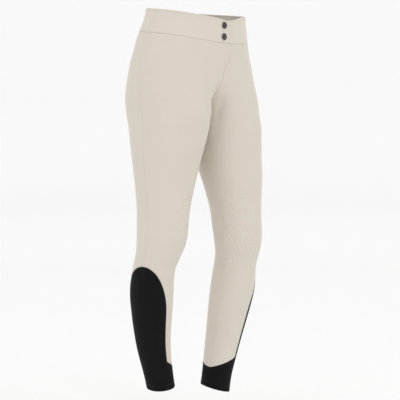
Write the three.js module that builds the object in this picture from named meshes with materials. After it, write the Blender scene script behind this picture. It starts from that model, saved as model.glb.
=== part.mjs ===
import * as THREE from 'three';

// Riding breeches in their worn shape, empty inside. Millimetres.
// The wearer faces -Y, the wearer's right is at -X and +Z is up.
// The origin is near the centre of the waistband's hollow, level with the middle of the band.

const RIGHT = -1;
const LEFT = 1;
const DEGREE = Math.PI / 180;

// Cloth. The band is sewn double, so its wall is thicker and stands a little proud of the panels.
const CLOTH = 1.5;
const BAND_CLOTH = 2.4;
const BAND_PROUD = 0.5;
const SEAM_GAP = 0.3;
const LAYER_GAP = 0.6;

// Waistband: its lower seam and its top edge dip towards the centre front. The top edge has one
// more small dip at the snaps, and the wearer's stance lifts it a little over the left hip.
const SEAM_Z_BACK = -9;
const SEAM_FRONT_DIP = 36;
const BAND_TOP_BACK = 46;
const BAND_FRONT_DIP = 34;
const BAND_DIP_POWER = 1.5;
const SNAP_DIP = 3.5;
const SNAP_DIP_SPAN = 14;
const LEFT_HIP_LIFT = 7;

// Fly: the right front laps over the left front, and the left front reaches under it.
const LAP_WIDTH = 17;
const UNDERLAP_WIDTH = 20;
const LAP_START_Z = -70;
const LAP_END_Z = -116;
const LIFT_START_Z = -126;
const LIFT_END_Z = -150;
const CROSSING_ANGLE = 0.5;
const LIFT_FLAT = 31;
const LIFT_RAMP = 24;

// The rise seams end at the crotch point, where the two leg tubes begin.
const CROTCH_Z = -210;

// The lower leg stretch piece: a tall oval about the outer side, and a cuff all round.
const OVAL_TIP_Z = -567.5;
const OVAL_TOP_LENGTH = 115;
const OVAL_HALF_SPAN = 81;
const OVAL_ROUNDNESS = 0.515;
const CUFF_TOP_OUTER_Z = -794;
const CUFF_TOP_INNER_DROP = 22;
const CUFF_CURVE = 1.4;
const HEMS = {
  [RIGHT]: { z: -856, outerDrop: 8, frontDrop: 2.5 },
  [LEFT]: { z: -868, outerDrop: 4.5, frontDrop: 8 },
};

// Snap fasteners on the overlap.
const SNAP_RADIUS = 8;
const SNAP_HEIGHT = 3.2;
const SNAP_GAP = 0.35;
const SNAP_OFF_CENTRE = 8.6;
const SNAP_HEIGHTS = { snap_cap_upper: -4, snap_cap_lower: -30.5 };

// Rings from the waist to the hem. Each leg has its own ring about a centre that starts in the
// middle of the waist and moves out. x is its distance from the middle plane, rightY and leftY its
// depth on each side, half the half width along X, front and back the depths of the cloth, square
// the corner power (2 is an ellipse) and turn the twist of the leg in degrees. Above the crotch
// both sides are alike.
const RINGS = [
  { z: 60, x: 0, rightY: -9.5, leftY: -9.5, half: 131, front: 101, back: 83, square: 2.2, turn: 0 },
  { z: 24, x: 0, rightY: -9.5, leftY: -9.5, half: 135, front: 103, back: 88, square: 2.2, turn: 0 },
  { z: -5, x: 0, rightY: -4.5, leftY: -4.5, half: 142, front: 108, back: 94, square: 2.2, turn: 0 },
  { z: -34, x: 0, rightY: 0.5, leftY: 0.5, half: 151, front: 112, back: 101, square: 2.2, turn: 0 },
  { z: -62, x: 4, rightY: 2, leftY: 2, half: 155, front: 113, back: 104, square: 2.2, turn: 0 },
  { z: -91, x: 20, rightY: 1.5, leftY: 1.5, half: 147, front: 109, back: 105, square: 2.25, turn: 0 },
  { z: -127, x: 49, rightY: 1, leftY: 1, half: 121, front: 106, back: 104, square: 2.3, turn: 0 },
  { z: -161, x: 73.5, rightY: -1, leftY: -1, half: 98, front: 107, back: 105, square: 2.3, turn: 0 },
  { z: -185, x: 82, rightY: -3.5, leftY: -3.5, half: 90, front: 107, back: 105, square: 2.3, turn: 0 },
  { z: -210, x: 86, rightY: -6.5, leftY: -6.5, half: 86, front: 106, back: 103, square: 2.3, turn: 0 },
  { z: -232, x: 87, rightY: -8.5, leftY: -14, half: 84, front: 103, back: 98, square: 2.3, turn: 0 },
  { z: -264, x: 88, rightY: -8.5, leftY: -22.5, half: 81, front: 96, back: 93, square: 2.3, turn: 0 },
  { z: -300, x: 89, rightY: -5.5, leftY: -31, half: 78, front: 87, back: 85, square: 2.25, turn: 1 },
  { z: -350, x: 91, rightY: -3.5, leftY: -45, half: 72, front: 76, back: 75, square: 2.2, turn: 3 },
  { z: -437, x: 102, rightY: -7, leftY: -50, half: 59.5, front: 62, back: 62, square: 2.15, turn: 6 },
  { z: -509, x: 109, rightY: -8, leftY: -50, half: 58, front: 59, back: 59, square: 2.1, turn: 9 },
  { z: -538, x: 113, rightY: -3.5, leftY: -45.5, half: 53.5, front: 54, back: 54.5, square: 2.1, turn: 10 },
  { z: -566, x: 116.5, rightY: 6.5, leftY: -35.5, half: 50, front: 51, back: 52, square: 2.1, turn: 10 },
  { z: -594, x: 117.5, rightY: 12, leftY: -30, half: 50, front: 51, back: 52.5, square: 2.1, turn: 10 },
  { z: -638, x: 116, rightY: 17, leftY: -25, half: 51, front: 52, back: 54, square: 2.1, turn: 10 },
  { z: -754, x: 99, rightY: 29, leftY: -11, half: 41, front: 42, back: 43, square: 2.05, turn: 10 },
  { z: -840, x: 78, rightY: 30, leftY: -9, half: 34, front: 36, back: 36, square: 2.05, turn: 10 },
  { z: -880, x: 69, rightY: 29, leftY: -9, half: 34.5, front: 37, back: 36, square: 2.05, turn: 10 },
];

// Below the knee the two legs' sizes differ a little from the table.
const GIRTHS = { [RIGHT]: 0.975, [LEFT]: 1.03 };
const GIRTH_START_Z = -545;
const GIRTH_FULL_Z = -610;

// Broad soft folds. angle is measured round the leg from its front, outwards. run is the length
// of half the fold, spread the half width across it, slope its rise outwards in degrees and
// height how far it stands out, or in where it is negative.
const FOLDS = [
  { side: RIGHT, angle: -38, z: -178, slope: 38, run: 52, spread: 15, height: -3.2 },
  { side: LEFT, angle: -38, z: -182, slope: 36, run: 48, spread: 15, height: -3.0 },
  { side: RIGHT, angle: 196, z: -232, slope: -14, run: 62, spread: 17, height: -3.4 },
  { side: LEFT, angle: 192, z: -236, slope: -11, run: 58, spread: 16, height: -3.2 },
  { side: RIGHT, angle: 188, z: -500, slope: 9, run: 44, spread: 15, height: -2.8 },
  { side: LEFT, angle: 184, z: -504, slope: -7, run: 46, spread: 15, height: -2.8 },
  { side: RIGHT, angle: 176, z: -540, slope: -6, run: 40, spread: 14, height: -2.2 },
  { side: LEFT, angle: 190, z: -544, slope: 8, run: 38, spread: 14, height: -2.2 },
];

// Columns from the inseam to the side seam, and across the oval.
const FRONT_COLUMNS = 16;
const BACK_COLUMNS = 14;
const OVAL_COLUMNS = 12;
const LEAST_COLUMN = 1.5;

// Rows: even steps down the rise, heights down the thigh, depths below the oval's tip along its
// edge, which even out towards the inseam, and shares of the cuff and of the band.
const RISE_ROWS = 11;
const RISE_ROW_POWER = 1.7;
const THIGH_ROWS = [-220, -236, -256, -282, -312, -346, -382, -418, -452, -482, -508, -530, -550];
const OVAL_ROWS = [0.8, 3, 7, 13, 22, 35, 52, 74, 100, 130, 162, 194, OVAL_TIP_Z - CUFF_TOP_OUTER_Z];
const CUFF_ROWS = [0.33, 0.67, 1];
const BAND_ROWS = [0, 0.33, 0.67, 1];

function ease(share) {
  const s = Math.min(Math.max(share, 0), 1);
  return s * s * (3 - 2 * s);
}

// One column of the ring table as a smooth curve of height.
function columnAt(column, z) {
  const last = RINGS.length - 1;
  let i = 0;
  while (i < last - 1 && z < RINGS[i + 1].z) i += 1;
  const slope = (a, b) => (RINGS[b][column] - RINGS[a][column]) / (RINGS[b].z - RINGS[a].z);
  const startSlope = i > 0 ? slope(i - 1, i + 1) : slope(i, i + 1);
  const endSlope = i + 1 < last ? slope(i, i + 2) : slope(i, i + 1);
  const step = RINGS[i + 1].z - RINGS[i].z;
  const t = (z - RINGS[i].z) / step;
  const keepStart = (1 + 2 * t) * (1 - t) ** 2;
  const leaveStart = t * (1 - t) ** 2 * step * startSlope;
  const reachEnd = t * t * (t - 1) * step * endSlope;
  return keepStart * RINGS[i][column] + leaveStart + (1 - keepStart) * RINGS[i + 1][column] + reachEnd;
}

function ringAt(side, z) {
  const depthColumn = side === RIGHT ? 'rightY' : 'leftY';
  const ring = { x: Math.max(columnAt('x', z), 0), y: columnAt(depthColumn, z) };
  const girth = 1 + (GIRTHS[side] - 1) * ease((GIRTH_START_Z - z) / (GIRTH_START_Z - GIRTH_FULL_Z));
  for (const column of ['half', 'front', 'back']) ring[column] = columnAt(column, z) * girth;
  for (const column of ['square', 'turn']) ring[column] = columnAt(column, z);
  return ring;
}

// Distance from the ring's centre to the cloth in one direction.
function reachAt(ring, direction) {
  const across = Math.abs(Math.sin(direction)) / ring.half;
  const depth = Math.cos(direction) > 0 ? ring.front : ring.back;
  const along = Math.abs(Math.cos(direction)) / depth;
  return (across ** ring.square + along ** ring.square) ** (-1 / ring.square);
}

function foldHeight(side, angle, z, reach) {
  let height = 0;
  for (const fold of FOLDS) {
    if (fold.side !== side) continue;
    const around = (angle - fold.angle) * DEGREE * reach;
    const up = z - fold.z;
    const slope = fold.slope * DEGREE;
    const along = (around * Math.cos(slope) + up * Math.sin(slope)) / fold.run;
    const across = (up * Math.cos(slope) - around * Math.sin(slope)) / fold.spread;
    height += fold.height * Math.exp(-along * along - across * across);
  }
  return height;
}

// The outer face of the cloth. angle goes from the front of the leg outwards, in degrees.
function surfacePoint(side, angle, z) {
  const ring = ringAt(side, z);
  const direction = (angle + side * ring.turn) * DEGREE;
  const reach = reachAt(ring, direction);
  const full = reach + foldHeight(side, angle, z, reach);
  const x = ring.x + full * Math.sin(direction);
  return new THREE.Vector3(side * x, ring.y - full * Math.cos(direction), z);
}

function surfaceNormal(side, angle, z) {
  const around = surfacePoint(side, angle + 1, z).sub(surfacePoint(side, angle - 1, z));
  const down = surfacePoint(side, angle, z - 2).sub(surfacePoint(side, angle, z + 2));
  return around.cross(down).multiplyScalar(-side).normalize();
}

// The angle at which one side's ring meets the middle plane, in front or behind.
function riseAngle(z, isFront) {
  const ring = ringAt(RIGHT, Math.max(z, CROTCH_Z));
  const share = Math.min(ring.x / ring.half, 1);
  const depth = (isFront ? ring.front : ring.back) * (1 - share ** ring.square) ** (1 / ring.square);
  const swing = Math.atan2(ring.x, depth) / DEGREE;
  return isFront ? -swing : 180 + swing;
}

// A place on the cloth. Past the centre front it lies on the other side's surface.
function place(side, angle, z, lift = 0) {
  const rise = z > CROTCH_Z ? riseAngle(z, true) : -90;
  const crosses = z > CROTCH_Z && angle < rise - CROSSING_ANGLE;
  const onSide = crosses ? -side : side;
  const onAngle = crosses ? 2 * rise - angle : angle;
  const normal = surfaceNormal(onSide, onAngle, z);
  return { point: surfacePoint(onSide, onAngle, z).addScaledVector(normal, lift), normal };
}

// How far an edge of the band has dipped: 1 at the centre front and 0 at the centre back.
function dipShare(angle) {
  return ((1 + Math.cos(angle * DEGREE)) / 2) ** BAND_DIP_POWER;
}

// Past the centre front and the centre back both edges run on level.
function onOwnSide(angle) {
  return Math.min(Math.max(angle, 0), 180);
}

function waistSeam(angle) {
  return SEAM_Z_BACK - SEAM_FRONT_DIP * dipShare(onOwnSide(angle));
}

function bandTop(side, angle) {
  const own = onOwnSide(angle);
  const snapDip = SNAP_DIP * Math.exp(-((own / SNAP_DIP_SPAN) ** 2));
  const hipLift = side === LEFT ? LEFT_HIP_LIFT * ease((own - 10) / 35) * ease((170 - own) / 80) : 0;
  return BAND_TOP_BACK - BAND_FRONT_DIP * dipShare(own) - snapDip + hipLift;
}

// How far the front edge reaches past the centre front: the right one over, the left one under.
function lapWidth(side, z) {
  const width = side === RIGHT ? LAP_WIDTH : UNDERLAP_WIDTH;
  return width * ease((z - LAP_END_Z) / (LAP_START_Z - LAP_END_Z));
}

function frontEdge(side, z) {
  return riseAngle(z, true) - lapWidth(side, z) / ringAt(side, z).front / DEGREE;
}

// The right front rises over the layer below it near the centre front.
function lapLift(side, angle, z, rowEdgeZ, layer) {
  if (side !== RIGHT) return 0;
  const fromMiddle = (angle - riseAngle(z, true)) * DEGREE * ringAt(side, z).front;
  const outwards = 1 - ease((fromMiddle - LIFT_FLAT) / LIFT_RAMP);
  const downwards = ease((rowEdgeZ - LIFT_END_Z) / (LIFT_START_Z - LIFT_END_Z));
  return (layer + LAYER_GAP) * outwards * downwards;
}

// Half the oval's span in degrees at a depth below its tip.
function ovalSpan(depth) {
  const share = Math.min(depth / OVAL_TOP_LENGTH, 1);
  return OVAL_HALF_SPAN * (1 - (1 - share) ** 2) ** OVAL_ROUNDNESS;
}

function cuffTop(angle) {
  const fromInseam = Math.min(Math.abs(angle + 90), Math.abs(270 - angle));
  const share = Math.min(fromInseam / (180 - OVAL_HALF_SPAN), 1);
  return CUFF_TOP_OUTER_Z - CUFF_TOP_INNER_DROP * (1 - share ** CUFF_CURVE);
}

function hemHeight(side, angle) {
  const hem = HEMS[side];
  const direction = angle * DEGREE;
  return hem.z - hem.outerDrop * Math.sin(direction) - hem.frontDrop * Math.cos(direction);
}

// Angles of a panel's columns from the inseam to an outer edge.
function panelAngles(isFront, outerEdge) {
  const columns = isFront ? FRONT_COLUMNS : BACK_COLUMNS;
  const inseam = isFront ? -90 : 270;
  const angles = [];
  for (let i = 0; i <= columns; i += 1) angles.push(inseam + (outerEdge - inseam) * i / columns);
  return angles;
}

// Above the crotch the columns that would pass the rise seam or the lap's edge, or nearly so, end on it.
function boundedAngles(isFront, edge) {
  const inwards = isFront ? 1 : -1;
  return panelAngles(isFront, 90).map((angle) => (inwards * (angle - edge) < LEAST_COLUMN ? edge : angle));
}

function edgeAngle(side, isFront, z) {
  return isFront ? frontEdge(side, z) : riseAngle(z, false);
}

// The rows from the waist seam to the crotch, each from the rise seam to the side seam.
function riseRows(side, isFront) {
  const middleSeam = waistSeam(isFront ? 0 : 180);
  const rows = [];
  for (let row = 0; row < RISE_ROWS; row += 1) {
    const sideDrop = row / RISE_ROWS;
    const edgeDrop = 1 - (1 - sideDrop) ** RISE_ROW_POWER;
    const edgeZ = middleSeam - (middleSeam - CROTCH_Z) * edgeDrop;
    const edge = edgeAngle(side, isFront, edgeZ);
    rows.push(boundedAngles(isFront, edge).map((angle) => {
      const share = (angle - edge) / (90 - edge);
      const drop = edgeDrop + (sideDrop - edgeDrop) * ease(share);
      const z = waistSeam(angle) - (waistSeam(angle) - CROTCH_Z) * drop;
      const lift = isFront ? lapLift(side, angle, z, edgeZ, CLOTH + BAND_PROUD) : 0;
      const atMiddle = !isFront || edgeZ < LAP_END_Z;
      return { ...place(side, angle, z, lift), side, atMiddle };
    }));
  }
  return rows;
}

// One front or back panel, from the waist seam to the cuff.
function panelNet(side, isFront) {
  const outwards = isFront ? -1 : 1;
  const net = riseRows(side, isFront);
  for (const z of [CROTCH_Z, ...THIGH_ROWS, OVAL_TIP_Z]) {
    const atMiddle = z === CROTCH_Z;
    net.push(panelAngles(isFront, 90).map((angle) => ({ ...place(side, angle, z), side, atMiddle })));
  }
  const count = OVAL_ROWS.length;
  const lowest = OVAL_ROWS[count - 1];
  for (let row = 0; row < count; row += 1) {
    const edgeDepth = OVAL_ROWS[row];
    const evenDepth = lowest * (row + 1) / count;
    const angles = panelAngles(isFront, 90 + outwards * ovalSpan(edgeDepth));
    net.push(angles.map((angle, column) => {
      const nearOval = 1 - (1 - column / (angles.length - 1)) ** 2;
      const depth = evenDepth + (edgeDepth - evenDepth) * nearOval;
      const droop = (cuffTop(angle) - CUFF_TOP_OUTER_Z) * (depth / lowest) ** 2;
      return place(side, angle, OVAL_TIP_Z - depth + droop);
    }));
  }
  return net;
}

// Angles across the oval from its front edge to its back edge.
function ovalAngles(span) {
  const angles = [];
  for (let i = 0; i <= OVAL_COLUMNS; i += 1) angles.push(90 + span * (2 * i / OVAL_COLUMNS - 1));
  return angles;
}

// The oval and the cuff share the oval's lowest row.
function stretchNets(side) {
  const oval = [0, ...OVAL_ROWS].map((depth) => {
    const angles = ovalAngles(ovalSpan(depth));
    return angles.map((angle) => place(side, angle, OVAL_TIP_Z - depth));
  });
  const front = panelAngles(true, 90 - OVAL_HALF_SPAN);
  const back = panelAngles(false, 90 + OVAL_HALF_SPAN).reverse();
  const angles = [...front, ...ovalAngles(OVAL_HALF_SPAN).slice(1, -1), ...back];
  const cuff = [0, ...CUFF_ROWS].map((share) => angles.map((angle) => {
    const top = cuffTop(angle);
    return place(side, angle, top + (hemHeight(side, angle) - top) * share);
  }));
  return [oval, cuff];
}

function bandNet(side, isFront) {
  const edge = edgeAngle(side, isFront, waistSeam(isFront ? 0 : 180));
  return BAND_ROWS.map((rise) => boundedAngles(isFront, edge).map((angle) => {
    const z = waistSeam(angle) + (bandTop(side, angle) - waistSeam(angle)) * rise;
    const lift = isFront ? lapLift(side, angle, z, z, BAND_CLOTH) : 0;
    return place(side, angle, z, lift + BAND_PROUD);
  }));
}

// One closed wall of cloth over one or more nets that share edge points.
function clothWall(nets, thickness) {
  const corners = [];
  const found = new Map();
  const indexOf = (spot) => {
    const key = spot.point.toArray().map((value) => Math.round(value * 20)).join(',');
    if (found.has(key)) {
      corners[found.get(key)].normal.add(spot.normal);
      return found.get(key);
    }
    found.set(key, corners.length);
    corners.push({ ...spot, point: spot.point.clone(), normal: spot.normal.clone() });
    return corners.length - 1;
  };
  const triangles = nets.flatMap((net) => netTriangles(net.map((row) => row.map(indexOf)), corners));
  for (const corner of corners) corner.normal.normalize();
  const edges = freeEdges(triangles);
  drawInEdges(corners, edges);
  return wallGeometry(corners, triangles, edges, thickness);
}

// Two triangles for each cell of a net, all wound so that the net faces out.
function netTriangles(rows, corners) {
  const triangles = [];
  for (let i = 0; i + 1 < rows.length; i += 1) {
    for (let j = 0; j + 1 < rows[i].length; j += 1) {
      triangles.push([rows[i][j], rows[i][j + 1], rows[i + 1][j]]);
      triangles.push([rows[i][j + 1], rows[i + 1][j + 1], rows[i + 1][j]]);
    }
  }
  const whole = triangles.filter(([a, b, c]) => a !== b && b !== c && c !== a);
  let facing = 0;
  for (const [a, b, c] of whole) {
    const first = corners[b].point.clone().sub(corners[a].point);
    const second = corners[c].point.clone().sub(corners[a].point);
    facing += first.cross(second).dot(corners[a].normal);
  }
  return facing > 0 ? whole : whole.map(([a, b, c]) => [a, c, b]);
}

function freeEdges(triangles) {
  const directed = new Set();
  const sides = triangles.flatMap(([a, b, c]) => [[a, b], [b, c], [c, a]]);
  for (const [a, b] of sides) directed.add(`${a},${b}`);
  return sides.filter(([a, b]) => !directed.has(`${b},${a}`));
}

// Half of the seam gap is taken from each edge, within the cloth.
function drawInEdges(corners, edges) {
  const shifts = new Map();
  for (const [a, b] of edges) {
    const along = corners[b].point.clone().sub(corners[a].point).normalize();
    for (const index of [a, b]) {
      const inwards = corners[index].normal.clone().cross(along).normalize();
      if (!shifts.has(index)) shifts.set(index, []);
      shifts.get(index).push(inwards);
    }
  }
  for (const [index, directions] of shifts) {
    const shift = directions.reduce((sum, one) => sum.add(one), new THREE.Vector3());
    const share = Math.max(shift.dot(directions[0]), 0.5);
    const corner = corners[index];
    corner.point.addScaledVector(shift, SEAM_GAP / 2 / share);
    corner.onEdge = true;
  }
}

// An edge on the rise seam stays on its own side of the middle plane.
function keepToSide(corner, point) {
  if (!corner.onEdge || !corner.atMiddle) return point;
  point.x = corner.side * Math.max(corner.side * point.x, SEAM_GAP / 2);
  return point;
}

function wallGeometry(corners, triangles, edges, thickness) {
  const outer = corners.map((corner) => keepToSide(corner, corner.point));
  const inner = corners.map((corner) => {
    const behindPoint = corner.point.clone().addScaledVector(corner.normal, -thickness);
    return keepToSide(corner, behindPoint);
  });
  const behind = corners.length;
  const faces = [];
  for (const [a, b, c] of triangles) {
    faces.push(a, b, c);
    faces.push(a + behind, c + behind, b + behind);
  }
  // The two sides of a seam split their edge faces from the same, higher corner.
  for (const [a, b] of edges) {
    const [endOfFirst, startOfSecond] = outer[a].z > outer[b].z ? [b + behind, a] : [a + behind, b];
    faces.push(b, a, endOfFirst);
    faces.push(startOfSecond, a + behind, b + behind);
  }
  const geometry = new THREE.BufferGeometry();
  const positions = [...outer, ...inner].flatMap((point) => point.toArray());
  geometry.setAttribute('position', new THREE.Float32BufferAttribute(positions, 3));
  geometry.setIndex(faces);
  geometry.computeVertexNormals();
  return geometry;
}

// A domed cap, flat behind, standing along +Y before it is turned to the band.
function snapGeometry() {
  const flat = SNAP_RADIUS - 0.5;
  const profile = [
    new THREE.Vector2(0, 0),
    new THREE.Vector2(flat, 0),
    new THREE.Vector2(SNAP_RADIUS, 0.6),
    new THREE.Vector2(SNAP_RADIUS - 0.4, 1.5),
    new THREE.Vector2(SNAP_RADIUS * 0.72, 2.5),
    new THREE.Vector2(SNAP_RADIUS * 0.4, SNAP_HEIGHT - 0.15),
    new THREE.Vector2(0, SNAP_HEIGHT),
  ];
  return new THREE.LatheGeometry(profile, 20);
}

function addMesh(group, name, geometry, material) {
  const mesh = new THREE.Mesh(geometry, material.clone());
  mesh.name = name;
  group.add(mesh);
  return mesh;
}

function addSnap(group, name, z, bandGeometry, material) {
  const angle = SNAP_OFF_CENTRE / ringAt(RIGHT, z).front / DEGREE;
  const { point, normal } = place(RIGHT, angle, z);
  const mesh = addMesh(group, name, snapGeometry(), material);
  const positions = bandGeometry.getAttribute('position');
  const corner = new THREE.Vector3();
  let highest = -Infinity;
  for (let i = 0; i < positions.count; i += 1) {
    corner.fromBufferAttribute(positions, i).sub(point);
    const height = corner.dot(normal);
    if (corner.length() < 4 * SNAP_RADIUS) highest = Math.max(highest, height);
  }
  mesh.position.copy(point).addScaledVector(normal, highest + SNAP_GAP);
  mesh.quaternion.setFromUnitVectors(new THREE.Vector3(0, 1, 0), normal);
  return mesh;
}

const creamCloth = new THREE.MeshStandardMaterial({ color: '#d5cdc2', roughness: 0.85, metalness: 0 });
const bandCloth = new THREE.MeshStandardMaterial({ color: '#dad2c7', roughness: 0.85, metalness: 0 });
const blackCloth = new THREE.MeshStandardMaterial({ color: '#1a1a1a', roughness: 0.8, metalness: 0 });
const snapMetal = new THREE.MeshStandardMaterial({ color: '#4b4a4c', roughness: 0.3, metalness: 1 });

const breeches = new THREE.Group();
for (const [side, word] of [[RIGHT, 'right'], [LEFT, 'left']]) {
  addMesh(breeches, `front_${word}`, clothWall([panelNet(side, true)], CLOTH), creamCloth);
  addMesh(breeches, `back_${word}`, clothWall([panelNet(side, false)], CLOTH), creamCloth);
  addMesh(breeches, `leg_stretch_${word}`, clothWall(stretchNets(side), CLOTH), blackCloth);
  addMesh(breeches, `waistband_front_${word}`, clothWall([bandNet(side, true)], BAND_CLOTH), bandCloth);
}
const backBand = clothWall([bandNet(RIGHT, false), bandNet(LEFT, false)], BAND_CLOTH);
addMesh(breeches, 'waistband_back', backBand, bandCloth);
const overlap = breeches.getObjectByName('waistband_front_right').geometry;
for (const [name, z] of Object.entries(SNAP_HEIGHTS)) addSnap(breeches, name, z, overlap, snapMetal);

export default breeches;
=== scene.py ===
import math

import bmesh
import bpy
import numpy as np
from mathutils import Matrix, Vector
from mathutils.bvhtree import BVHTree
from mathutils.kdtree import KDTree


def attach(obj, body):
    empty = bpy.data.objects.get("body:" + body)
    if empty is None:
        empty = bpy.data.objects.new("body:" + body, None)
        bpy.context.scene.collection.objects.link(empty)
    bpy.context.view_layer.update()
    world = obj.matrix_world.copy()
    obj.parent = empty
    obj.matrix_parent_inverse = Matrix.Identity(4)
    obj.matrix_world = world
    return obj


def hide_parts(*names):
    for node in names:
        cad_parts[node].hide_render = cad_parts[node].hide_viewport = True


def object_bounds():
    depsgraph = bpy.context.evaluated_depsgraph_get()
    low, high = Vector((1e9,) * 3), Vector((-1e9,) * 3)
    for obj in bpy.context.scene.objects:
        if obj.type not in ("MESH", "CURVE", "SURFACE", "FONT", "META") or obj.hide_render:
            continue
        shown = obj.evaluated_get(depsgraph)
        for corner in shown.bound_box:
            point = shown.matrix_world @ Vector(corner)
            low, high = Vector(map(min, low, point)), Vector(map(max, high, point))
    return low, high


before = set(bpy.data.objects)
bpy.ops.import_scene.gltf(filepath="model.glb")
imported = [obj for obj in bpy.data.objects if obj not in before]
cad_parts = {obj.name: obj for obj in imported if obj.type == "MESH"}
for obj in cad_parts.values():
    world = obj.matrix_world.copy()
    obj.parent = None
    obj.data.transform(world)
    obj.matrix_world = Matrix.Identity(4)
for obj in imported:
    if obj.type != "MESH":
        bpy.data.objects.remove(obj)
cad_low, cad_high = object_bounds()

# Front and back panels.
# Four panels of matt two-way stretch twill, cut to the leg and sewn edge to edge; worn, they are
# pulled smooth over the seat and thighs and crease only at the crotch, under the seat and behind
# the knees. Each piece is a thin shell on its solid's form, with its edges turned in at the seams.
RIGHT, LEFT = -1, 1
MM = 0.001
CLOTH = 1.5 * MM

# Height, distance of the leg's axis from the middle, its depth on the right and on the left, and
# the mean radius there, all in millimetres from the middle of the waistband.
LEG_AXIS = np.array([
    (60, 0, -8, -8, 112), (-34, 0, 2, 2, 122), (-62, 4, 4, 4, 124), (-91, 20, 4, 4, 118),
    (-127, 49, 4, 4, 108), (-161, 73.5, 2, 2, 102), (-210, 86, -5, -5, 95), (-264, 88, -7, -22, 88),
    (-350, 91, -3, -45, 74), (-437, 102, -7, -50, 61), (-509, 109, -8, -50, 57),
    (-566, 117, 8, -34, 50), (-638, 116, 17, -25, 52), (-754, 99, 29, -11, 42),
    (-840, 78, 30, -9, 35), (-880, 69, 29, -9, 36),
])[::-1] * MM


def axis_at(side, z):
    """The leg's axis as x, y and mean radius at a height; x is positive on both sides."""
    depth = 2 if side == RIGHT else 3
    return [np.interp(z, LEG_AXIS[:, 0], LEG_AXIS[:, column]) for column in (1, depth, 4)]


def around(side, points):
    """Degrees round the leg from its front, outwards, and the mean radius, for rows of points."""
    x, y, radius = axis_at(side, points[:, 2])
    return np.degrees(np.arctan2(side * points[:, 0] - x, y - points[:, 1])), radius


def coordinates(mesh):
    """A mesh's corners as rows of x, y and z."""
    points = np.empty(len(mesh.vertices) * 3)
    mesh.vertices.foreach_get("co", points)
    return points.reshape(-1, 3)


# Faces smaller than SLIVER, in square metres, have no dependable normal. Corners are evened out in
# so many passes, and one nearer to the piece's edge than EDGE_KEPT only moves away from it. The
# edge has a square corner where the angle between its two sides is less than SQUARE_BELOW.
SLIVER = 2e-8
EVENING_PASSES = 16
EDGE_KEPT = 8 * MM
SQUARE_BELOW = math.radians(145)
FITTING_PASSES = 6


def outer_skin(node, side):
    """The outer face of a cloth node: the faces whose corners all look away from the leg's axis,
    with its corners evened out on the same surface. Square corners of its edge are marked, so that
    smoothing keeps them."""
    bm = bmesh.new()
    bm.from_mesh(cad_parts[node].data)
    bmesh.ops.remove_doubles(bm, verts=bm.verts, dist=0.02 * MM)
    outer = set()
    for vert in bm.verts:
        looks = sum((loop.face.normal * loop.calc_angle() for loop in vert.link_loops
                     if loop.face.calc_area() > SLIVER), Vector())
        x, y, _ = axis_at(side, vert.co.z)
        if looks.dot(vert.co - Vector((side * x, y, vert.co.z))) > 0:
            outer.add(vert)
    others = [face for face in bm.faces if not outer.issuperset(face.verts)]
    bmesh.ops.delete(bm, geom=others, context="FACES")
    surface = BVHTree.FromBMesh(bm)
    within = [vert for vert in bm.verts if not vert.is_boundary]
    rim = tree_of([edge.verts[0].co.lerp(edge.verts[1].co, share / 8)
                   for edge in bm.edges if edge.is_boundary for share in range(9)])
    for _ in range(EVENING_PASSES):
        before = [vert.co.copy() for vert in within]
        bmesh.ops.smooth_vert(bm, verts=within, factor=0.5, use_axis_x=True, use_axis_y=True,
                              use_axis_z=True)
        for vert, old in zip(within, before):
            moved = surface.find_nearest(vert.co)[0]
            clear = rim.find(moved)[2]
            vert.co = moved if clear > EDGE_KEPT or clear > rim.find(old)[2] else old
    bmesh.ops.join_triangles(bm, faces=bm.faces, angle_face_threshold=1.2, angle_shape_threshold=1.6)
    square = bm.verts.layers.float.new("crease_vert")
    for vert in bm.verts:
        sides = [edge.other_vert(vert).co - vert.co for edge in vert.link_edges if edge.is_boundary]
        if len(sides) == 2 and sides[0].angle(sides[1]) < SQUARE_BELOW:
            vert[square] = 1
    return bm


def smooth_skin(name, cage, levels):
    """A finer mesh on the cage. Its edges pass through the cage's own, and within them the cage is
    only moved along its normals, which keeps close rows from folding over each other."""
    mesh = bpy.data.meshes.new(name)
    cage.to_mesh(mesh)
    cage.free()
    piece = bpy.data.objects.new(name, mesh)
    bpy.context.scene.collection.objects.link(piece)
    finer = piece.modifiers.new("finer", "SUBSURF")
    finer.levels = finer.render_levels = 1
    wanted = coordinates(mesh)
    within = np.full(len(wanted), True)
    within[sum(edge_paths(mesh), [])] = False
    for _ in range(FITTING_PASSES):
        seen = piece.evaluated_get(bpy.context.evaluated_depsgraph_get()).data
        short = wanted - coordinates(seen)[: len(wanted)]
        normals = np.array([vertex.normal for vertex in mesh.vertices])
        outwards = (short * normals).sum(axis=1, keepdims=True) * normals
        short[within] = outwards[within]
        mesh.vertices.foreach_set("co", (coordinates(mesh) + short).ravel())
        mesh.update()
        bpy.context.view_layer.update()
    finer.levels = finer.render_levels = levels
    bpy.context.view_layer.update()
    fine = bpy.data.meshes.new_from_object(piece.evaluated_get(bpy.context.evaluated_depsgraph_get()))
    piece.modifiers.remove(finer)
    piece.data = fine
    fine.name = name
    return piece


def in_layout(side, middle, points):
    """Each point's place on the flattened cloth: metres round the leg from the piece's middle, and up."""
    angle, radius = around(side, points)
    turned = (angle - middle + 180) % 360 - 180
    return np.radians(turned) * radius, points[:, 2]


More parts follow.
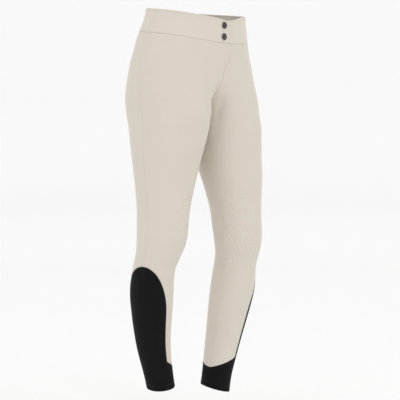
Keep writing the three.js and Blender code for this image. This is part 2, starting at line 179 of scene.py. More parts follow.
# Creases: degrees round the leg, height, slope upwards in degrees, half length, half width and
# depth in millimetres. A depth below nothing is a soft ridge. They are uneven on purpose.
CREASES = {
    RIGHT: [
        (-35, -186, 66, 24, 9, 2.2), (-36, -164, 34, 36, 7, 1.0), (-30, -148, 22, 30, 6, 0.6),
        (-48, -232, 64, 38, 7, 0.9), (-20, -196, 30, 34, 9, -0.7),
        (206, -226, -20, 44, 6, 1.5), (198, -246, -13, 52, 8, 1.0), (214, -204, -34, 30, 6, 0.8),
        (190, -214, -16, 40, 9, -0.7), (186, -492, 10, 40, 6, 1.3), (176, -512, -6, 36, 6, 0.9),
        (192, -529, 5, 44, 7, 1.4), (170, -548, -12, 30, 5, 0.8), (214, -508, 24, 26, 6, 0.7),
        (232, -474, 38, 30, 7, 0.6), (-62, -560, -30, 26, 6, 0.5), (206, -790, 8, 24, 5, 0.5),
    ],
    LEFT: [
        (-42, -199, 58, 30, 7, 1.9), (-35, -172, 31, 44, 7, 0.9), (-50, -236, 62, 34, 7, 0.8),
        (-22, -190, 27, 36, 9, -0.7),
        (202, -230, -17, 48, 7, 1.4), (196, -250, -10, 46, 8, 0.9), (212, -206, -30, 34, 6, 0.9),
        (188, -216, -14, 38, 9, -0.6), (182, -497, -8, 42, 6, 1.2), (190, -516, 7, 34, 6, 1.0),
        (178, -534, 3, 46, 7, 1.3), (196, -551, 12, 28, 5, 0.8), (212, -500, 20, 28, 6, 0.6),
        (230, -480, 35, 26, 7, 0.6), (-64, -556, -28, 28, 6, 0.5), (204, -800, -7, 22, 5, 0.5),
    ],
}


def crease_depth(side, points):
    """How far each point sinks into the creases. Each crease has a low swell along both its sides."""
    angle, radius = around(side, points)
    sunk = np.zeros(len(points))
    for at, height, slope, length, width, depth in CREASES[side]:
        across = np.radians((angle - at + 180) % 360 - 180) * radius / MM
        up = points[:, 2] / MM - height
        rise, run = math.sin(math.radians(slope)), math.cos(math.radians(slope))
        along = (across * run + up * rise) / length
        off = (up * run - across * rise) / width
        sunk += depth * MM * np.exp(-along ** 4 - off ** 2)
        sunk -= 0.3 * depth * MM * np.exp(-along ** 4 - (np.abs(off) - 2) ** 2)
    return sunk


def edge_paths(mesh):
    """The mesh's open edges as closed rows of vertex numbers."""
    used = np.zeros(len(mesh.edges), int)
    loop_edges = np.empty(len(mesh.loops), int)
    mesh.loops.foreach_get("edge_index", loop_edges)
    np.add.at(used, loop_edges, 1)
    following = {}
    for polygon in mesh.polygons:
        ring = list(polygon.vertices)
        for index, edge in enumerate(loop_edges[polygon.loop_start: polygon.loop_start + len(ring)]):
            if used[edge] == 1:
                following[ring[index]] = ring[(index + 1) % len(ring)]
    paths = []
    while following:
        path = [next(iter(following))]
        while path[-1] in following:
            path.append(following.pop(path[-1]))
        paths.append(path[:-1])
    return paths


def flat_map(mesh, side, middle):
    """The piece's own UV map, in metres on the flattened cloth, so threads keep their spacing."""
    across, up = in_layout(side, middle, coordinates(mesh))
    corners = np.empty(len(mesh.loops), int)
    mesh.loops.foreach_get("vertex_index", corners)
    whole_turn = 2 * math.pi * axis_at(side, coordinates(mesh)[:, 2])[2]
    u = across[corners]
    for polygon in mesh.polygons:
        first = polygon.loop_start
        span = slice(first, first + polygon.loop_total)
        turn = whole_turn[corners[span]]
        u[span] -= turn * np.round((u[span] - u[first]) / turn)
    layer = mesh.uv_layers.new(name="flat cloth")
    layer.data.foreach_set("uv", np.stack([u, up[corners]], axis=1).ravel())


def into_cloth(points, normals):
    """For a closed row of edge points, the direction along the face into the cloth."""
    along = np.roll(points, -1, axis=0) - np.roll(points, 1, axis=0)
    inwards = np.cross(normals, along)
    return inwards / np.maximum(np.linalg.norm(inwards, axis=1), 1e-9)[:, None]


def tree_of(points):
    """A tree that finds the nearest of the points."""
    tree = KDTree(len(points))
    for index, point in enumerate(points):
        tree.insert(point, index)
    tree.balance()
    return tree


def filled_in(points, chosen):
    """Points a quarter step apart along a closed row, between neighbours that are both chosen."""
    after = np.roll(points, -1, axis=0)
    both = chosen & np.roll(chosen, -1)
    return np.concatenate([points[both] + (after - points)[both] * share / 4 for share in range(4)])


def mark(piece, name, values):
    """Keeps a number for each corner of a piece, which its material reads."""
    layer = piece.data.attributes.new(name, "FLOAT", "POINT")
    layer.data.foreach_set("value", np.asarray(values, np.float32))


# Each edge grows by SEAM_CLOSED, so that sewn edges all but touch. Creases fade out over
# CREASE_FADE beside an edge. The rise seams are within RISE_REACH of the middle plane, down to
# RISE_END, and each edge there is set at RISE_GAP from the plane.
SEAM_CLOSED = 0.11 * MM
CREASE_FADE = 12 * MM
RISE_REACH = 1.5 * MM
RISE_END = -212 * MM
RISE_GAP = 0.05 * MM
# What later steps need of each finished face: its rows of edge points, its edge and its surface.
skins = {}


def cloth_piece(name, node, side, middle, thickness, edge_shape, sewn, levels=3):
    """A finished piece of cloth on its solid's form. edge_shape gives how far a point sinks at its
    distance from the nearest edge, and sewn which points of the edge have a needle row beside them.
    The edges of the rise seams meet in the middle plane."""
    piece = smooth_skin(name, outer_skin(node, side), levels)
    mesh = piece.data
    points = coordinates(mesh)
    normals = np.array([vertex.normal for vertex in mesh.vertices])
    paths = edge_paths(mesh)
    for path in paths:
        points[path] -= into_cloth(points[path], normals[path]) * SEAM_CLOSED
    rim = tree_of(np.concatenate([filled_in(points[path], np.full(len(path), True)) for path in paths]))
    distance = np.array([rim.find(point)[2] for point in points])
    sunk = crease_depth(side, points) * np.minimum(distance / CREASE_FADE, 1) + edge_shape(distance)
    points -= normals * sunk[:, None]
    for path in paths:
        in_rise_seam = [i for i in path if abs(points[i, 0]) < RISE_REACH and points[i, 2] > RISE_END]
        points[in_rise_seam, 0] = side * RISE_GAP
    mesh.vertices.foreach_set("co", points.ravel())
    mesh.update()
    flat_map(mesh, side, middle)
    points = coordinates(mesh)
    normals = np.array([vertex.normal for vertex in mesh.vertices])
    rows = [(points[path], into_cloth(points[path], normals[path])) for path in paths]
    rows = [(row, inwards, sewn(row, inwards)) for row, inwards in rows]
    faces = [list(polygon.vertices) for polygon in mesh.polygons]
    skins[name] = {"rows": rows, "rim": rim, "tree": BVHTree.FromPolygons(points.tolist(), faces)}
    wall = piece.modifiers.new("cloth thickness", "SOLIDIFY")
    wall.thickness = thickness
    wall.offset = -1
    bpy.context.view_layer.update()
    bm = bmesh.new()
    bm.from_object(piece, bpy.context.evaluated_depsgraph_get())
    piece.modifiers.clear()
    folded = [edge for edge in bm.edges if edge.calc_face_angle(0) > math.radians(55)]
    bmesh.ops.bevel(bm, geom=folded, offset=0.3 * thickness, offset_type="OFFSET", segments=2,
                    profile=0.5, affect="EDGES", material=-1)
    bm.to_mesh(mesh)
    bm.free()
    mesh.shade_smooth()
    mesh.set_sharp_from_angle(angle=math.radians(60))
    points = coordinates(mesh)
    mark(piece, "from_edge", [rim.find(point)[2] for point in points])
    needle_rows = [filled_in(row, chosen) for row, _, chosen in rows if chosen.any()]
    if needle_rows:
        beside = tree_of(np.concatenate(needle_rows))
        mark(piece, "from_sewn_edge", [beside.find(point)[2] for point in points])
    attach(piece, "root")
    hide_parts(node)
    return piece


def linear(hex_colour):
    """An sRGB hex value as linear colour."""
    parts = [int(hex_colour[i: i + 2], 16) / 255 for i in (1, 3, 5)]
    return [c / 12.92 if c <= 0.04045 else ((c + 0.055) / 1.055) ** 2.4 for c in parts] + [1]


def add_node(tree, kind, settings=None, **links):
    """Adds a node; settings are its properties, links its sockets: a value, or another's output."""
    node = tree.nodes.new(kind)
    for name, value in (settings or {}).items():
        setattr(node, name, value)
    for name, value in links.items():
        socket = node.inputs[int(name[1:])] if name[0] == "_" else node.inputs[name.replace("_", " ")]
        if isinstance(value, bpy.types.NodeSocket):
            tree.links.new(value, socket)
        else:
            socket.default_value = value
    return node


def new_material(name, **shader_values):
    """A material with one shader, its output and the piece's own coordinates."""
    material = bpy.data.materials.new(name)
    material.use_nodes = True
    tree = material.node_tree
    tree.nodes.clear()
    place = add_node(tree, "ShaderNodeTexCoord")
    shader = add_node(tree, "ShaderNodeBsdfPrincipled", None, **shader_values)
    add_node(tree, "ShaderNodeOutputMaterial", None, Surface=shader.outputs["BSDF"])
    return material, tree, place, shader


def groove(tree, name, inset, width):
    """A socket that is 1 on a line at inset from what the attribute is measured from, and 0 beside it."""
    place = add_node(tree, "ShaderNodeAttribute", {"attribute_name": name})
    past = add_node(tree, "ShaderNodeMath", {"operation": "SUBTRACT"}, _0=place.outputs["Fac"], _1=inset)
    off = add_node(tree, "ShaderNodeMath", {"operation": "ABSOLUTE"}, _0=past.outputs[0])
    line = add_node(tree, "ShaderNodeMapRange", {"interpolation_type": "SMOOTHSTEP"},
                    Value=off.outputs[0], From_Min=0.0, From_Max=width, To_Min=1.0, To_Max=0.0)
    return line.outputs[0]


# The wave texture draws 20 bands for each 2 pi of its scale, so this over a pitch is its scale.
WAVE_SCALE = 2 * math.pi / 20


def stretch_twill(name, colour, shade, sheen, rib_pitch, rib_depth, inset):
    """Nylon and elastane twill, circular knitted and piece dyed: matt, with a faint bloom at
    grazing angles from its brushed face. Real ribs are 0.4 mm apart, too fine to show, so they
    are drawn at rib_pitch. The cloth sinks along its needle row, where shade is painted into its
    colour as a slightly darker line, and puckers a little beside seams."""
    material, tree, place, shader = new_material(
        name, IOR=1.5, Sheen_Weight=sheen, Sheen_Roughness=0.4, Specular_IOR_Level=0.15)
    uv, solid = place.outputs["UV"], place.outputs["Object"]
    cloudy = add_node(tree, "ShaderNodeTexNoise", None, Vector=solid, Scale=1 / 0.045, Detail=3)
    slub = add_node(tree, "ShaderNodeTexNoise", None, Vector=solid, Scale=1 / 0.0016, Detail=2)
    needle_row = groove(tree, "from_sewn_edge", inset, 0.9 * MM)
    beside_seam = groove(tree, "from_edge", 0.0, 9 * MM)
    dye = add_node(tree, "ShaderNodeMix", {"data_type": "RGBA"}, _0=cloudy.outputs["Fac"],
                   _6=linear(shade), _7=linear(colour))
    level = add_node(tree, "ShaderNodeMapRange", None, Value=slub.outputs["Fac"], From_Min=0.3,
                     From_Max=0.7, To_Min=0.985, To_Max=1.015)
    # Painted shade: the colour is made 6% darker along the needle row, where the cloth sinks in. The slub's
    # uneven tone is the yarn's own.
    sunk = add_node(tree, "ShaderNodeMath", {"operation": "MULTIPLY_ADD"}, _0=needle_row, _1=-0.06,
                    _2=level.outputs[0])
    slub_and_painted_row_shade = add_node(tree, "ShaderNodeHueSaturation", None, Color=dye.outputs[2], Value=sunk.outputs[0])
    tree.links.new(slub_and_painted_row_shade.outputs[0], shader.inputs["Base Color"])
    rough = add_node(tree, "ShaderNodeMapRange", None, Value=slub.outputs["Fac"], From_Min=0.3,
                     From_Max=0.7, To_Min=0.78, To_Max=0.9)
    tree.links.new(rough.outputs[0], shader.inputs["Roughness"])
    ribs = add_node(tree, "ShaderNodeTexWave", {"bands_direction": "DIAGONAL"}, Vector=uv,
                    Scale=WAVE_SCALE / rib_pitch, Distortion=0.4, Detail=1)
    ripple = add_node(tree, "ShaderNodeTexNoise", None, Vector=solid, Scale=1 / 0.007, Detail=1)
    pucker = add_node(tree, "ShaderNodeMath", {"operation": "MULTIPLY"}, _0=ripple.outputs["Fac"],
                      _1=beside_seam)
    grain = add_node(tree, "ShaderNodeBump", None, Height=slub.outputs["Fac"], Strength=0.25,
                     Distance=0.12 * MM)
    twill = add_node(tree, "ShaderNodeBump", None, Height=ribs.outputs["Fac"], Strength=0.5,
                     Distance=rib_depth, Normal=grain.outputs[0])
    puckered = add_node(tree, "ShaderNodeBump", None, Height=pucker.outputs[0], Strength=0.6,
                        Distance=0.5 * MM, Normal=twill.outputs[0])
    dented = add_node(tree, "ShaderNodeBump", {"invert": True}, Height=needle_row, Strength=0.8,
                      Distance=0.35 * MM, Normal=puckered.outputs[0])
    tree.links.new(dented.outputs[0], shader.inputs["Normal"])
    return material, tree, dented, shader


def turned_in(depth, reach):
    """An edge that turns in at a seam: depth at the edge itself, fading over reach."""
    return lambda distance: depth * np.exp(-(distance / reach) ** 2)


def joined(name, unit, middles, along, outwards, material):
    """Many copies of one small mesh as one piece, each with its X along and its Z outwards."""
    one = bpy.data.meshes.new(name + "_one")
    unit.to_mesh(one)
    unit.free()
    shape = coordinates(one)
    sideways = np.cross(outwards, along)
    corners = middles[:, None] + sum(shape[None, :, axis, None] * direction[:, None]
                                     for axis, direction in enumerate((along, sideways, outwards)))
    faces = [[corner + copy * len(shape) for corner in polygon.vertices]
             for copy in range(len(middles)) for polygon in one.polygons]
    bpy.data.meshes.remove(one)
    mesh = bpy.data.meshes.new(name)
    mesh.from_pydata(corners.reshape(-1, 3).tolist(), [], faces)
    mesh.shade_smooth()
    mesh.set_sharp_from_angle(angle=math.radians(60))
    mesh.materials.append(material)
    piece = bpy.data.objects.new(name, mesh)
    bpy.context.scene.collection.objects.link(piece)
    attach(piece, "root")
    return piece


def needle_rows(name, inset):
    """Rows of points on a piece's face at a distance from its sewn edges, clear of its other edges."""
    skin = skins[name]
    rows = []
    for points, inwards, chosen in skin["rows"]:
        start = -int(np.argmin(chosen))
        moved = np.roll(points + inwards * inset, start, axis=0)
        run = []
        for point, sewn in zip(list(moved) + [None], list(np.roll(chosen, start)) + [False]):
            if sewn and skin["rim"].find(point)[2] > 0.93 * inset:
                run.append(skin["tree"].find_nearest(point)[0])
            elif run:
                rows.append((np.array(run), skin["tree"]))
                run = []
    return [row for row in rows if len(row[0]) > 3]


def one_stitch(length, radius):
    """A six sided thread along X that bows up in its middle and dips into the cloth at its ends."""
    bm = bmesh.new()
    bmesh.ops.create_cone(bm, cap_ends=True, segments=6, radius1=radius, radius2=radius, depth=length,
                          matrix=Matrix.Rotation(math.pi / 2, 4, "Y"))
    sides = [edge for edge in bm.edges if abs(edge.verts[0].co.x - edge.verts[1].co.x) > length / 2]
    bmesh.ops.subdivide_edges(bm, edges=sides, cuts=4, use_grid_fill=True)
    for vert in bm.verts:
        share = (2 * vert.co.x / length) ** 2
        vert.co.y *= 1 - 0.5 * share ** 2
        vert.co.z = vert.co.z * (1 - 0.5 * share ** 2) + radius * (0.7 - 1.5 * share)
    return bm


# Thread and pitches are a third larger than real ones, so that they show.
THREAD_RADIUS = 0.21 * MM
STITCH_SHARE = 0.86


def stitches(name, rows, pitch, material):
    """Lock stitches along rows of points, each as long as STITCH_SHARE of the pitch."""
    length = STITCH_SHARE * pitch
    middles, along, outwards = [], [], []
    for row, face in rows:
        travelled = np.concatenate([[0], np.cumsum(np.linalg.norm(np.diff(row, axis=0), axis=1))])
        for where in (np.arange(travelled[-1] // pitch) + 0.5) * pitch:
            before, here, after = [Vector([np.interp(at, travelled, row[:, axis]) for axis in range(3)])
                                   for at in (where - length / 2, where, where + length / 2)]
            on_face, normal = face.find_nearest(here)[:2]
            ahead = (after - before) - normal * (after - before).dot(normal)
            middles.append(on_face)
            along.append(ahead.normalized())
            outwards.append(normal)
    return joined(name, one_stitch(length, THREAD_RADIUS), np.array(middles), np.array(along),
                  np.array(outwards), material)


def sewing_thread(name, colour, shade):
    """Two-ply polyester core thread: a low gloss, with its plies as fine slanting bands."""
    material, tree, place, shader = new_material(name, Sheen_Weight=0.2, Specular_IOR_Level=0.4)
    plies = add_node(tree, "ShaderNodeTexWave", {"bands_direction": "DIAGONAL"},
                     Vector=place.outputs["Object"], Scale=WAVE_SCALE / (0.5 * MM), Distortion=0.6)
    tint = add_node(tree, "ShaderNodeMix", {"data_type": "RGBA"}, _0=plies.outputs["Fac"],
                    _6=linear(shade), _7=linear(colour))
    tree.links.new(tint.outputs[2], shader.inputs["Base Color"])
    rough = add_node(tree, "ShaderNodeMapRange", None, Value=plies.outputs["Fac"], To_Min=0.62, To_Max=0.5)
    tree.links.new(rough.outputs[0], shader.inputs["Roughness"])
    raised = add_node(tree, "ShaderNodeBump", None, Height=plies.outputs["Fac"], Strength=0.6,
                      Distance=0.05 * MM)
    tree.links.new(raised.outputs[0], shader.inputs["Normal"])
    return material


FLY_ROW = 3 * MM
TWILL_RIBS = (1.6 * MM, 0.08 * MM)
CREAM_PITCH = 3.2 * MM
cream_twill, tree, dented, shader = stretch_twill(
    "cream_stretch_twill", "#D5CDC2", "#D2CABE", 0.35, *TWILL_RIBS, FLY_ROW)
dart = add_node(tree, "ShaderNodeBump", {"invert": True}, Height=groove(tree, "from_dart", 0.0, 1.2 * MM),
                Strength=0.9, Distance=0.6 * MM, Normal=dented.outputs[0])
tree.links.new(dart.outputs[0], shader.inputs["Normal"])
cream_thread = sewing_thread("cream_sewing_thread", "#D8D1C6", "#CFC7BB")


LAP_END = -118 * MM
# The hip dart starts at DART_TOP, DART_ASIDE from the panel's middle, leans towards the middle by
# DART_LEAN of its fall, and ends at DART_POINT, below which it narrows to nothing.
DART_TOP, DART_POINT = -34 * MM, -62 * MM
DART_ASIDE, DART_LEAN, DART_NARROWS = 65 * MM, 0.1, 3


def lap_edge(points, inwards):
    """The free edge of the right front, over the left one."""
    return (inwards[:, 0] < -0.5) & (points[:, 0] > 0) & (points[:, 2] > LAP_END)


def plain_edge(points, inwards):
    """An edge with no needle row beside it."""
    return np.full(len(points), False)


def mark_dart(panel, side):
    """Distance across the sewn hip dart, which runs down from the band and ends at a point."""
    across, up = in_layout(side, 0, coordinates(panel.data))
    off = across - DART_ASIDE - DART_LEAN * (up - DART_TOP)
    mark(panel, "from_dart", off + np.sign(off) * DART_NARROWS * np.maximum(DART_POINT - up, 0))


panels = {}
cuts = {}
for side, word in ((RIGHT, "right"), (LEFT, "left")):
    for middle, part, cut in ((0, "front", (0.27, 0.84, 0.146)), (180, "back", (0.29, 0.88, 0.148))):
        node = f"{part}_{word}"
        panel = cloth_piece(f"panel_{node}", node, side, middle, CLOTH,
                            turned_in(0.35 * MM, 1.8 * MM), lap_edge if node == "front_right" else plain_edge)
        mark(panel, "from_dart", np.ones(len(panel.data.vertices)))
        panel.data.materials.append(cream_twill)
        panels[node], cuts[node] = panel, cut
    mark_dart(panels[f"front_{word}"], side)
fly_stitches = stitches("stitches_fly", needle_rows("panel_front_right", FLY_ROW), CREAM_PITCH,
                        cream_thread)

# Silicone knee grip.
# Six sided pads of soft silicone, screen printed on the inner knee of both front panels and cured
# there; tone on tone with the cloth, a little glossier, and 0.4 mm proud of it.
PAD_PITCH = 10.5 * MM
PAD_FOOT, PAD_TOP, PAD_HEIGHT = 3.9 * MM, 3.6 * MM, 0.6 * MM
# The grip's middle is at GRIP_LEVEL, turned inwards from the front by GRIP_INWARDS; it reaches
# GRIP_HALF to both sides and up and down. Rows are ROW_STEP of a pitch apart.
GRIP_LEVEL, GRIP_INWARDS = -478 * MM, 36 * MM
GRIP_HALF = (45 * MM, 84 * MM)
ROW_STEP = 0.87
CLEAR_OF_SEAMS = 6 * MM
silicone, tree, place, shader = new_material(
    "printed_silicone", IOR=1.41, Specular_IOR_Level=0.35, Subsurface_Weight=0.15, Subsurface_Scale=0.6 * MM)
cloudy = add_node(tree, "ShaderNodeTexNoise", None, Vector=place.outputs["Object"], Scale=1 / 0.004, Detail=2)
tint = add_node(tree, "ShaderNodeMix", {"data_type": "RGBA"}, _0=cloudy.outputs["Fac"],
                _6=linear("#D3CBBF"), _7=linear("#D9D2C8"))
tree.links.new(tint.outputs[2], shader.inputs["Base Color"])
rough = add_node(tree, "ShaderNodeMapRange", None, Value=cloudy.outputs["Fac"], To_Min=0.42, To_Max=0.6)
tree.links.new(rough.outputs[0], shader.inputs["Roughness"])
dimples = add_node(tree, "ShaderNodeBump", None, Height=cloudy.outputs["Fac"], Strength=0.3,
                   Distance=0.06 * MM)
tree.links.new(dimples.outputs[0], shader.inputs["Normal"])


def one_pad():
    """A low six sided pad with a rounded rim, its underside just below the cloth's face."""
    bm = bmesh.new()
    bmesh.ops.create_cone(bm, cap_ends=True, segments=6, radius1=PAD_FOOT, radius2=PAD_TOP,
                          depth=PAD_HEIGHT, matrix=Matrix.Translation((0, 0, 0.1 * MM)))
    upper = [edge for edge in bm.edges if all(vert.co.z > 0 for vert in edge.verts)]
    bmesh.ops.bevel(bm, geom=upper, offset=0.35 * MM, offset_type="OFFSET", segments=2, profile=0.5,
                    affect="EDGES", material=-1)
    return bm


grips = {}
for side, word in ((RIGHT, "right"), (LEFT, "left")):
    skin = skins[f"panel_front_{word}"]
    middles, along, outwards = [], [], []
    for row in range(-11, 12):
        for column in range(-7, 8):
            sideways = (column + 0.5 * (row % 2)) * PAD_PITCH
            height = row * PAD_PITCH * ROW_STEP
            if (sideways / GRIP_HALF[0]) ** 4 + (height / GRIP_HALF[1]) ** 4 > 1:
                continue
            z = GRIP_LEVEL + height
            x, y, radius = axis_at(side, np.array([z]))
            turn = (sideways - GRIP_INWARDS) / radius[0]
            out = Vector((side * math.sin(turn), -math.cos(turn), 0))
            start = Vector((side * x[0], y[0], z)) + out * radius[0] * 1.6
            spot, normal = skin["tree"].ray_cast(start, -out)[:2]
            if spot is None or skin["rim"].find(spot)[2] < CLEAR_OF_SEAMS:
                continue
            middles.append(spot)
            along.append(Vector((0, 0, 1)).cross(normal).normalized())
            outwards.append(normal)
    grips[word] = joined(f"knee_grip_{word}", one_pad(), np.array(middles), np.array(along),
                         np.array(outwards), silicone)

for node, panel in panels.items():
    on_it = [grips[node[6:]]] if node.startswith("front") else []
    on_it += [fly_stitches] if node == "front_right" else []

# Lower leg stretch pieces.
# One black piece a leg: a tall oval over the outer calf that runs into a cuff all round the
# ankle. It is a springier jersey, sewn on with a flat edge and two needle rows, and hemmed below.
HEM_TOP = -830 * MM
SEAM_ROWS = (2.2 * MM, 4.4 * MM)
HEM_ROW = 12 * MM
BLACK_PITCH = 3 * MM


def lapped_on(distance):
    """A flat seam: the edge stands up a little out to its needle rows and is rounded at its end."""
    return 0.4 * MM * np.exp(-(distance / (1.0 * MM)) ** 2) - 0.3 * MM * np.exp(-(distance / (5 * MM)) ** 4)


def joining_edge(points, inwards):
    """All of the edge that is sewn to the panels, and none of the hem's."""
    return points[:, 2] > HEM_TOP


black_jersey = stretch_twill("black_stretch_jersey", "#101011", "#0D0D0E", 0.04, 1.2 * MM, 0.1 * MM,
                             SEAM_ROWS[1])[0]
black_thread = sewing_thread("black_sewing_thread", "#1E1E1F", "#151516")
for side, word in ((RIGHT, "right"), (LEFT, "left")):
    name = f"calf_stretch_{word}"
    calf = cloth_piece(name, f"leg_stretch_{word}", side, 90, CLOTH, lapped_on, joining_edge, levels=2)
    calf.data.materials.append(black_jersey)
    beside_edge = needle_rows(name, SEAM_ROWS[0]) + needle_rows(name, SEAM_ROWS[1])
    flat_seam = stitches(f"stitches_calf_{word}", beside_edge, BLACK_PITCH, black_thread)
    hemmed = [(points, inwards, inwards[:, 2] > 0.5) for points, inwards, _ in skins[name]["rows"]]
    skins[name]["rows"] = [(points, inwards, low & (points[:, 2] < HEM_TOP))
                           for points, inwards, low in hemmed]
    hem = stitches(f"stitches_hem_{word}", needle_rows(name, HEM_ROW), BLACK_PITCH, black_thread)

# Waistband.
# A curved band of the same twill, sewn double, in a back and two fronts. The right front laps
# over the left one and carries the two snaps; a needle row runs under the top edge.
BAND_CLOTH = 2.4 * MM
BAND_ROW = 5 * MM
IN_FRONT = -80 * MM


def top_edge(points, inwards):
    """The edge whose cloth lies below it."""
    return inwards[:, 2] < -0.7


def top_and_end(points, inwards):
    """The top edge, and the end of the overlap beside the snaps."""
    at_end = (inwards[:, 0] < -0.7) & (points[:, 0] > 0) & (points[:, 1] < IN_FRONT)
    return top_edge(points, inwards) | at_end


band_twill = stretch_twill(
    "waistband_stretch_twill", "#D6CEC3", "#D4CCC0", 0.35, *TWILL_RIBS, BAND_ROW)[0]
for name, node, side, middle, cut, sewn in (
        ("band_back", "waistband_back", RIGHT, 180, (0.44, 0.075, 0.022), top_edge),
        ("band_front_left", "waistband_front_left", LEFT, 0, (0.235, 0.07, 0.0125), top_edge),
        ("band_front_right", "waistband_front_right", RIGHT, 0, (0.235, 0.07, 0.0125), top_and_end)):
    band = cloth_piece(name, node, side, middle, BAND_CLOTH, turned_in(0.6 * MM, 2 * MM), sewn)
    band.data.materials.append(band_twill)
    row = stitches(f"stitches_{name}", needle_rows(name, BAND_ROW), CREAM_PITCH, cream_thread)

# Snap caps.
# Two domed brass caps in dark gunmetal plating with a rolled rim, each pressed on its post
# through the overlap. The profile is radius and height in millimetres, from the post to the crown.
CAP_PROFILE = [(0, -0.34), (2.6, -0.34), (2.6, 0), (7.1, 0), (7.6, 0.12), (7.92, 0.45), (8, 0.8),
               (7.92, 1.12), (7.68, 1.34), (7.35, 1.36), (7.1, 1.24), (6.95, 1.26), (6.6, 1.52),
               (5.9, 2), (5, 2.44), (3.9, 2.8), (2.7, 3.04), (1.4, 3.17), (0, 3.2)]
gunmetal, tree, place, shader = new_material("gunmetal_plating", Metallic=1.0)
brushed = add_node(tree, "ShaderNodeTexNoise", None, Vector=place.outputs["Object"], Scale=1 / 0.0012)
tint = add_node(tree, "ShaderNodeMix", {"data_type": "RGBA"}, _0=brushed.outputs["Fac"],
                _6=linear("#4A484A"), _7=linear("#585658"))
tree.links.new(tint.outputs[2], shader.inputs["Base Color"])
rough = add_node(tree, "ShaderNodeMapRange", None, Value=brushed.outputs["Fac"], To_Min=0.14, To_Max=0.24)
tree.links.new(rough.outputs[0], shader.inputs["Roughness"])
scuffs = add_node(tree, "ShaderNodeBump", None, Height=brushed.outputs["Fac"], Strength=0.15,
                  Distance=0.03 * MM)
tree.links.new(scuffs.outputs[0], shader.inputs["Normal"])


def back_of(node):
    """The middle of a cap's flat back and the direction it faces away from, read from its solid."""
    facing = {}
    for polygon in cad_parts[node].data.polygons:
        facing.setdefault(tuple(round(value, 2) for value in polygon.normal), []).append(polygon)
    flat = max(facing.values(), key=lambda group: sum(polygon.area for polygon in group))
    area = sum(polygon.area for polygon in flat)
    middle = sum((polygon.center * polygon.area for polygon in flat), Vector()) / area
    return middle, -flat[0].normal


for name in ("snap_cap_upper", "snap_cap_lower"):
    middle, outwards = back_of(name)
    bm = bmesh.new()
    corners = [bm.verts.new((radius * MM, 0, height * MM)) for radius, height in CAP_PROFILE]
    rims = [bm.edges.new(pair) for pair in zip(corners, corners[1:])]
    bmesh.ops.spin(bm, geom=corners + rims, cent=(0, 0, 0), axis=(0, 0, 1), dvec=(0, 0, 0),
                   angle=2 * math.pi, steps=48, use_merge=True)
    bmesh.ops.remove_doubles(bm, verts=bm.verts, dist=0.005 * MM)
    bmesh.ops.recalc_face_normals(bm, faces=bm.faces)
    turned = outwards.to_track_quat("Z", "Y").to_matrix().to_4x4()
    bmesh.ops.transform(bm, matrix=Matrix.Translation(middle) @ turned, verts=bm.verts)
    mesh = bpy.data.meshes.new(f"{name}_spun")
    bm.to_mesh(mesh)
    bm.free()
    mesh.shade_smooth()
    mesh.set_sharp_from_angle(angle=math.radians(50))
    mesh.materials.append(gunmetal)
    cap = bpy.data.objects.new(f"{name}_spun", mesh)
    bpy.context.scene.collection.objects.link(cap)
    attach(cap, "root")
    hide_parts(name)

# Floor, light and camera.
# A white studio: a round seamless sweep, an even white surround, two large soft boxes left and
# right of the camera and a small one high in front. The floor is where the wearer's soles would be.
SOLES_BELOW_CUFFS = 75 * MM
floor_level = cad_low.z - SOLES_BELOW_CUFFS
sweep = bmesh.new()
SWEEP_PROFILE = [(0, 0), (1.5, 0), (4.2, 0), (5.2, 0.12), (5.8, 0.5), (6.1, 1.2), (6.2, 2.2)]
corners = [sweep.verts.new((x, 0, floor_level + z)) for x, z in SWEEP_PROFILE]
rims = [sweep.edges.new(pair) for pair in zip(corners, corners[1:])]
bmesh.ops.spin(sweep, geom=corners + rims, cent=(0, 0, 0), axis=(0, 0, 1), dvec=(0, 0, 0),
               angle=2 * math.pi, steps=72, use_merge=True)
bmesh.ops.remove_doubles(sweep, verts=sweep.verts, dist=MM)
bmesh.ops.recalc_face_normals(sweep, faces=sweep.faces)
floor_mesh = bpy.data.meshes.new("studio_floor")
sweep.to_mesh(floor_mesh)
sweep.free()
floor_mesh.shade_smooth()
floor = bpy.data.objects.new("studio_floor", floor_mesh)
bpy.context.scene.collection.objects.link(floor)
paper, tree, place, shader = new_material("seamless_paper", Roughness=0.95, Specular_IOR_Level=0.1)
pulp = add_node(tree, "ShaderNodeTexNoise", None, Vector=place.outputs["Object"], Scale=3.0)
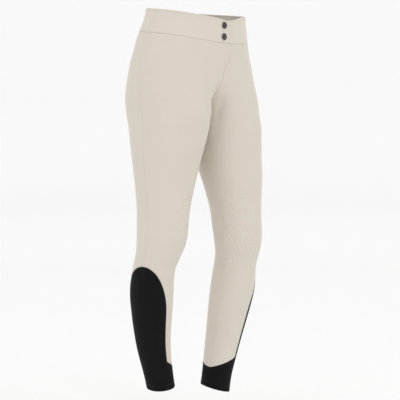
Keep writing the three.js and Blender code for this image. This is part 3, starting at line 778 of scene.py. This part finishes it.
tone = add_node(tree, "ShaderNodeMix", {"data_type": "RGBA"}, _0=pulp.outputs["Fac"],
                _6=linear("#FAFAFA"), _7=linear("#FBFBFB"))
tree.links.new(tone.outputs[2], shader.inputs["Base Color"])
floor_mesh.materials.append(paper)

world = bpy.data.worlds.new("white_surround")
world.use_nodes = True
world.node_tree.nodes["Background"].inputs["Color"].default_value = linear("#FFFFFF")
world.node_tree.nodes["Background"].inputs["Strength"].default_value = 1.0
bpy.context.scene.world = world
bpy.context.scene.view_settings.view_transform = "Standard"

THIGHS = Vector((0, 0, -0.4))
# Each lamp's degrees to the wearer's right of straight in front, distance, height, size and watts.
for name, turn, away, height, across, power in (
        ("soft_box_right", 25, 3.6, 0.2, 1.6, 4),
        ("soft_box_left", 90, 3.6, 0.4, 1.2, 4),
        ("key_soft_box", 14, 3.2, 1.5, 0.5, 6)):
    lamp_data = bpy.data.lights.new(name, "AREA")
    lamp_data.shape = "RECTANGLE"
    lamp_data.size = lamp_data.size_y = across
    lamp_data.energy = power
    lamp = bpy.data.objects.new(name, lamp_data)
    turn = math.radians(turn)
    lamp.location = (-away * math.sin(turn), -away * math.cos(turn), height)
    lamp.rotation_euler = (THIGHS - lamp.location).to_track_quat("-Z", "Y").to_euler()
    bpy.context.scene.collection.objects.link(lamp)

# The photograph is taken level, from the wearer's right front, 3.5 m away, with a long lens.
CAMERA_TURN = math.radians(46)
AWAY, LEVEL, ASIDE = 3.5, -0.4128, 0.0204
towards_camera = Vector((-math.sin(CAMERA_TURN), -math.cos(CAMERA_TURN), 0))
image_right = Vector((math.cos(CAMERA_TURN), -math.sin(CAMERA_TURN), 0))
camera_data = bpy.data.cameras.new("camera")
camera_data.lens, camera_data.sensor_width = 131.25, 36
camera_data.clip_start = 0.1
camera = bpy.data.objects.new("camera", camera_data)
camera.location = towards_camera * AWAY + image_right * ASIDE + Vector((0, 0, LEVEL))
camera.rotation_euler = (-towards_camera).to_track_quat("-Z", "Y").to_euler()
bpy.context.scene.collection.objects.link(camera)
bpy.context.scene.camera = camera
